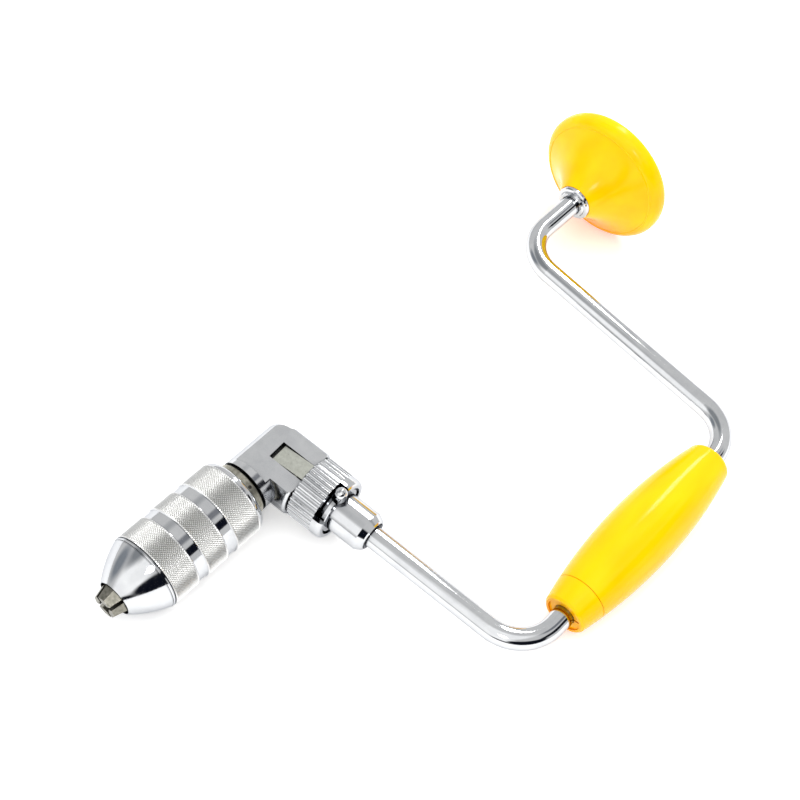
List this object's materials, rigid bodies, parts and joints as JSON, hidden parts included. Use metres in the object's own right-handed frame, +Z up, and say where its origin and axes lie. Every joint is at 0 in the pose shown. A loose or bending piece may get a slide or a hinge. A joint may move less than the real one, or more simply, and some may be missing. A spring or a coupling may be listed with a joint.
{
  "type": "ratchet bit brace",
  "caption": "Hand-cranked carpenter's brace with a four-jaw screw chuck, reversible ratchet box, spinning crank grip and mushroom head pad.",
  "frame": {"origin": "centre of the footprint on the bench, with the brace lying on head rim, chuck shell and grip", "axes": "+Y from the chuck toward the head pad along the main axis, +X from the main axis toward the crank grip, +Z up"},
  "size_m": [0.2052, 0.3844, 0.0766],
  "materials": {
    "rod_chrome": "polished plating",
    "box_chrome": "polished plating",
    "ring_chrome": "polished plating",
    "fitting_chrome": "polished plating",
    "shell_chrome": "polished plating, knurled bands",
    "collar_steel": "bright turned steel, oiled",
    "jaw_steel": "unplated hardened steel",
    "pawl_steel": "satin ground steel",
    "dark_steel": "oiled dark pin",
    "inner_steel": "machined, oiled",
    "yellow_plastic": "glossy moulded",
    "bush_plastic": "moulded"
  },
  "bodies": {
    "frame": {"crank_rod": "rod_chrome", "ferrule_sleeve": "fitting_chrome", "sleeve_pin": "fitting_chrome", "ratchet_box": "box_chrome", "pawl_pins": "inner_steel", "ring_washer": "fitting_chrome", "spindle_bush": "inner_steel", "head_washer": "inner_steel", "head_nut": "inner_steel"},
    "selector": {"selector_ring": "ring_chrome"},
    "pawl_front": {"pawl_front": "pawl_steel"},
    "pawl_back": {"pawl_back": "pawl_steel"},
    "spindle": {"chuck_spindle": "inner_steel", "ratchet_wheel": "inner_steel", "spindle_collar": "collar_steel", "collar_pin": "dark_steel"},
    "closing_ring": {"closing_ring": "inner_steel"},
    "shell": {"chuck_shell": "shell_chrome"},
    "jaw_1": {"jaw_1": "jaw_steel"},
    "jaw_2": {"jaw_2": "jaw_steel"},
    "jaw_3": {"jaw_3": "jaw_steel"},
    "jaw_4": {"jaw_4": "jaw_steel"},
    "head": {"head_flange": "fitting_chrome", "head_bush": "inner_steel", "head_bell": "yellow_plastic", "head_dome": "yellow_plastic"},
    "grip": {"grip_barrel": "yellow_plastic", "grip_end_cap": "yellow_plastic", "grip_bush_lower": "bush_plastic", "grip_bush_upper": "bush_plastic"}
  },
  "joints": [
    {"name": "spindle_spin", "type": "hinge", "parent": "frame", "child": "spindle", "pos_m": [-0.06432, -0.09398, 0.02392], "axis": [0, 0.9986, 0.0534], "continuous": true},
    {"name": "selector_turn", "type": "hinge", "parent": "frame", "child": "selector", "pos_m": [-0.03546, -0.08221, 0.02227], "axis": [0.9953, 0.0617, -0.0753], "range_deg": [-50, 0]},
    {"name": "pawl_front_tilt", "type": "hinge", "parent": "frame", "child": "pawl_front", "pos_m": [-0.04767, -0.0835, 0.03241], "axis": [-0.0574, 0.9967, 0.0578], "range_deg": [0, 14]},
    {"name": "pawl_back_tilt", "type": "hinge", "parent": "frame", "child": "pawl_back", "pos_m": [-0.04912, -0.08252, 0.01409], "axis": [-0.0574, 0.9967, 0.0578], "range_deg": [0, 14]},
    {"name": "shell_feed", "type": "slide", "parent": "spindle", "child": "closing_ring", "axis": [0, 0.9986, 0.0534], "range_m": [0, 0.0019]},
    {"name": "shell_turn", "type": "hinge", "parent": "closing_ring", "child": "shell", "pos_m": [-0.06432, -0.14391, 0.02125], "axis": [0, 0.9986, 0.0534], "range_deg": [0, 390]},
    {"name": "head_spin", "type": "hinge", "parent": "frame", "child": "head", "pos_m": [-0.06432, 0.16065, 0.03754], "axis": [0, 0.9986, 0.0534], "continuous": true},
    {"name": "grip_spin", "type": "hinge", "parent": "frame", "child": "grip", "pos_m": [0.08522, 0.01165, 0.01776], "axis": [0, 0.9986, 0.0534], "continuous": true},
    {"name": "jaw_1_slide", "type": "slide", "parent": "spindle", "child": "jaw_1", "axis": [-0.0786, 0.0532, -0.9955], "range_m": [0, 0.0011]},
    {"name": "jaw_2_slide", "type": "slide", "parent": "spindle", "child": "jaw_2", "axis": [-0.9969, -0.0042, 0.0785], "range_m": [0, 0.0011]},
    {"name": "jaw_3_slide", "type": "slide", "parent": "spindle", "child": "jaw_3", "axis": [0.0786, -0.0532, 0.9955], "range_m": [0, 0.0011]},
    {"name": "jaw_4_slide", "type": "slide", "parent": "spindle", "child": "jaw_4", "axis": [0.9969, 0.0042, -0.0785], "range_m": [0, 0.0011]}
  ],
  "couplings": [
    {"joint": "pawl_front_tilt", "follows": "selector_turn", "ratio": -0.28},
    {"joint": "pawl_back_tilt", "follows": "selector_turn", "ratio": -0.28},
    {"joint": "shell_feed", "follows": "shell_turn", "m_per_rad": 0.00027852},
    {"joint": "jaw_1_slide", "follows": "shell_turn", "m_per_rad": 0.0001608},
    {"joint": "jaw_2_slide", "follows": "shell_turn", "m_per_rad": 0.0001608},
    {"joint": "jaw_3_slide", "follows": "shell_turn", "m_per_rad": 0.0001608},
    {"joint": "jaw_4_slide", "follows": "shell_turn", "m_per_rad": 0.0001608}
  ]
}
